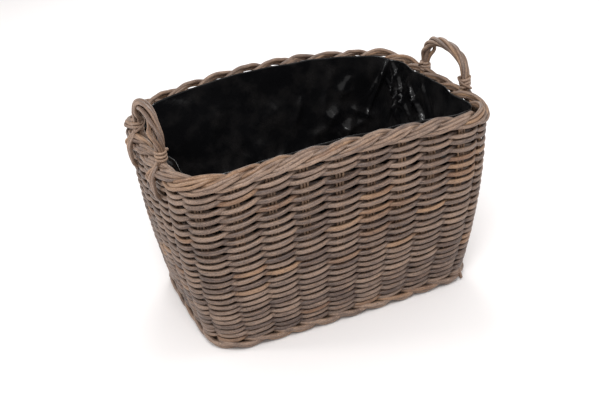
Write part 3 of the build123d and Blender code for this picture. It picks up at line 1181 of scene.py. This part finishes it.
class BASKET_OT_handles(bpy.types.Operator):
    """Twists the canes of the two hoop handles and splays their ends over the border"""

    bl_idname = "basket.handles"
    bl_label = "Handles"

    def execute(self, context):
        weave = context.scene.basket_weave
        settings = context.scene.basket_handles
        for end, side in ((-1, "Left"), (1, "Right")):
            rng = random.Random(SEED + 600 + end)
            bundle = CaneBundle(14)
            for number in range(HANDLE_CANES):
                self.add_cane(bundle, rng, end, number, settings, weave.crown)
            nodes = [f"{side.lower()}_handle_canes"]
            bundle.build(f"{side}_Handle", cane_of(context, "Handle Cane"), nodes)
        return {"FINISHED"}

    def add_cane(self, bundle, rng, end, number, settings, crown):
        share = np.linspace(0.0, 1.0, HOOP_SAMPLES)
        middle = hoop_middle(end, share)
        heading = unit(np.gradient(middle, axis=0))
        out = repeated((float(end), 0.0, 0.0), len(share))
        beside = unit(np.cross(heading, out))
        angle = rope_angle(end, share, number, settings.turns)
        swell = ROPE_REACH + ROPE_SWELL * np.sin(math.pi * share) ** 0.5
        from_bulge = (share - rng.choice(LOOSE_PLACES)) / LOOSE_LENGTH
        bulge = LOOSE_CANES.get(number, 0.0) * np.exp(-(from_bulge**2))
        reach = settings.rope_radius * HOOP_ARCHES[end][3] * (swell + bulge)
        hoop = middle + out * (reach * np.cos(angle))[:, None]
        hoop = hoop + beside * (reach * np.sin(angle))[:, None]
        front = self.leg(end, -1, hoop[0], number, settings, crown)
        back = self.leg(end, 1, hoop[-1], number, settings, crown)
        route = np.concatenate([front[::-1], hoop[1:-1], back])
        route = eased_line(route, HANDLE_CANE_SAMPLES)
        outward = repeated((float(end), 0.0, 0.0), len(route))
        thick = settings.cane_radius * rng.uniform(0.90, 1.04)
        thick = thick * (1 + 0.03 * slow_noise(rng, len(route), 12, closed=False))
        tone = rng.uniform(0.45, 0.75) + 0.10 * slow_noise(rng, len(route), 7, closed=False)
        tan = rng.uniform(0.5, 0.9) if number == 1 else rng.uniform(0.0, 0.25)
        bundle.add(route, outward, thick, thick, tone, tan, along_start=rng.uniform(0, 20))

    def leg(self, end, side, start, number, settings, crown):
        """From the binding down: the three outer canes pass outside the border, the others inside."""
        share = np.array(0.0 if side < 0 else 1.0)
        angles = [float(rope_angle(end, share, other, settings.turns)) for other in range(HANDLE_CANES)]
        order = sorted(range(HANDLE_CANES), key=lambda other: -math.cos(angles[other]))
        outermost = len(OUTER_SPLAY)
        outer = sorted(order[:outermost], key=lambda other: math.sin(angles[other]))
        inner = sorted(order[outermost:], key=lambda other: math.sin(angles[other]))
        if number in outer:
            beside, last = OUTER_SPLAY[outer.index(number)], OUTER_LEG_ENDS[outer.index(number)]
            offsets = LEG_REACH * np.array(OUTER_SWEEP)
        else:
            beside, last = INNER_SPLAY[inner.index(number)], INNER_LEG_END
            offsets = -LEG_REACH * np.array(INNER_SWEEP)
        steps = np.linspace(0, 1, len(offsets))
        high = start[Z] - LEG_START_DROP
        heights = high + (last - high) * steps
        spread_y = side * HOOP_SPAN - beside * end * np.sin(math.pi * (0.25 + 0.65 * steps))
        return np.concatenate([[start], wall_near(end, spread_y, heights, offsets, crown)])


def rope_angle(end, share, number, turns):
    """Angle of one cane of a handle round the middle of the rope."""
    start = 2 * math.pi * number / HANDLE_CANES + (0.6 if end > 0 else 0.2)
    return start + end * 2 * math.pi * turns * share + 0.25 * np.sin(3 * math.pi * share + number)


def eased_line(points, count):
    """Smooth line through points, evenly spaced."""
    curve = bpy.data.curves.new("route", "CURVE")
    curve.dimensions = "3D"
    spline = curve.splines.new("NURBS")
    spline.points.add(len(points) - 1)
    for place, point in zip(spline.points, points):
        place.co = (*point, 1.0)
    spline.order_u = 4
    spline.use_endpoint_u = True
    spline.resolution_u = 6
    holder = bpy.data.objects.new("route", curve)
    mesh = bpy.data.meshes.new_from_object(holder)
    line = np.array([vertex.co for vertex in mesh.vertices])
    bpy.data.objects.remove(holder)
    bpy.data.curves.remove(curve)
    bpy.data.meshes.remove(mesh)
    steps = np.concatenate([[0.0], np.cumsum(np.linalg.norm(np.diff(line, axis=0), axis=1))])
    even = np.linspace(0, steps[-1], count)
    return np.stack([np.interp(even, steps, line[:, axis]) for axis in range(3)], axis=1)


class BASKET_OT_bindings(bpy.types.Operator):
    """Wraps each handle leg with its binding cane"""

    bl_idname = "basket.bindings"
    bl_label = "Handle Bindings"

    def execute(self, context):
        material = cane_of(context, "Handle Cane")
        for end, side in ((-1, "left"), (1, "right")):
            for leg, word in ((-1, "front"), (1, "back")):
                name = f"{side}_handle_{word}_binding"
                rng = random.Random(name)
                bundle = CaneBundle(10)
                self.wrap(bundle, rng, end, leg)
                bundle.build(title_of(name), material, [name])
        return {"FINISHED"}

    def wrap(self, bundle, rng, end, leg):
        """Winds the binding round the leg, then lays its tail upright over the turns."""
        count = WRAP_SAMPLES
        share = np.linspace(0, 1, count)
        drop = HOOP_SHAPES[end][1 if leg < 0 else 2]
        middle = np.array([end * HOOP_PLANE + HOOP_SHIFT, leg * HOOP_SPAN, WRAP_HEIGHT - drop])
        tuck = 1 - 0.4 * (1 - smooth(0, 0.07, share) * smooth(1, 0.93, share))
        angle = 2 * math.pi * WRAP_TURNS * share + rng.uniform(0, 6.28)
        tilt = WRAP_TILT * np.cos(angle + rng.uniform(0, 6.28))
        radius = WRAP_REACH * (1 + 0.03 * slow_noise(rng, count, 7, closed=False)) * tuck
        out = np.stack([np.cos(angle), np.sin(angle), np.zeros(count)], axis=1)
        centre = middle + out * radius[:, None]
        centre[:, Z] += (share - 0.5) * WRAP_PITCH * WRAP_TURNS + tilt
        tone, tan = rng.uniform(0.5, 0.8), rng.uniform(0.1, 0.5)
        bundle.add(centre, out, WRAP_RADIUS * 0.85, WRAP_RADIUS, tone, tan)
        angle = leg * end * (rng.uniform(0.4, 0.8) + TAIL_TURN * share)
        out = np.stack([np.cos(angle) * end, np.sin(angle), np.zeros(count)], axis=1)
        centre = middle + out * ((WRAP_REACH + WRAP_RADIUS * 1.1) * tuck)[:, None]
        centre[:, Z] += TAIL_START + TAIL_RISE * share
        bundle.add(centre, out, WRAP_RADIUS * 0.8, WRAP_RADIUS * 0.9, rng.uniform(0.5, 0.8), 0.3)


# Stage


def add_area_light(name, place, target, energy, size):
    """Adds a round white light that faces its target."""
    data = bpy.data.lights.new(name, "AREA")
    data.energy = energy
    data.shape = "DISK"
    data.size = size
    light = bpy.data.objects.new(name, data)
    light.location = place
    light.rotation_euler = (Vector(target) - Vector(place)).to_track_quat("-Z", "Y").to_euler()
    bpy.context.scene.collection.objects.link(light)


class BASKET_OT_stage(bpy.types.Operator):
    """Adds the pale floor, the soft lights and the camera"""

    bl_idname = "basket.stage"
    bl_label = "Stage"

    def execute(self, context):
        colours = context.scene.basket_colours
        mesh = bpy.data.meshes.new("Floor")
        half = FLOOR_HALF
        corners = [(-half, -half, 0), (half, -half, 0), (half, half, 0), (-half, half, 0)]
        mesh.from_pydata(corners, [], [(0, 1, 2, 3)])
        mesh.materials.append(floor_material(colours.floor))
        floor = bpy.data.objects.new("Floor", mesh)
        floor.location.z = -FLOOR_DROP
        context.scene.collection.objects.link(floor)
        for light in LIGHTS:
            add_area_light(*light)
        world = bpy.data.worlds.new("Studio")
        world.use_nodes = True
        background = world.node_tree.nodes["Background"]
        background.inputs["Color"].default_value = WORLD_COLOUR
        background.inputs["Strength"].default_value = WORLD_STRENGTH
        context.scene.world = world
        context.scene.view_settings.view_transform = "Standard"
        add_camera()
        return {"FINISHED"}


# Panel and registration


class BASKET_PT_panel(bpy.types.Panel):
    """Lists the basket's steps and settings"""

    bl_label = "Rattan Log Basket"
    bl_idname = "BASKET_PT_panel"
    bl_space_type = "VIEW_3D"
    bl_region_type = "UI"
    bl_category = "Basket"

    def draw(self, context):
        layout = self.layout
        for operator in OPERATORS:
            layout.operator(operator.bl_idname)
        for group in SETTINGS:
            box = layout.box()
            settings = getattr(context.scene, group)
            for name in settings.bl_rna.properties.keys():
                if name not in ("rna_type", "name"):
                    box.prop(settings, name)


OPERATORS = (
    BASKET_OT_stage,
    BASKET_OT_weave,
    BASKET_OT_wale,
    BASKET_OT_stakes,
    BASKET_OT_rim_border,
    BASKET_OT_foot_border,
    BASKET_OT_base,
    BASKET_OT_liner,
    BASKET_OT_handles,
    BASKET_OT_bindings,
)
SETTINGS = {
    "basket_colours": BasketColours,
    "basket_weave": WeaveSettings,
    "basket_handles": HandleSettings,
}


def register():
    for group in SETTINGS.values():
        bpy.utils.register_class(group)
    for operator in OPERATORS:
        bpy.utils.register_class(operator)
    bpy.utils.register_class(BASKET_PT_panel)
    for name, group in SETTINGS.items():
        setattr(bpy.types.Scene, name, bpy.props.PointerProperty(type=group))


def unregister():
    for name in SETTINGS:
        delattr(bpy.types.Scene, name)
    bpy.utils.unregister_class(BASKET_PT_panel)
    for kind in (*reversed(OPERATORS), *reversed(SETTINGS.values())):
        bpy.utils.unregister_class(kind)


def main():
    register()
    bpy.ops.basket.stage()
    bpy.ops.basket.weave()
    bpy.ops.basket.wale()
    bpy.ops.basket.stakes()
    bpy.ops.basket.rim_border()
    bpy.ops.basket.foot_border()
    bpy.ops.basket.base()
    bpy.ops.basket.liner()
    bpy.ops.basket.handles()
    bpy.ops.basket.bindings()


if __name__ == "__main__":
    main()
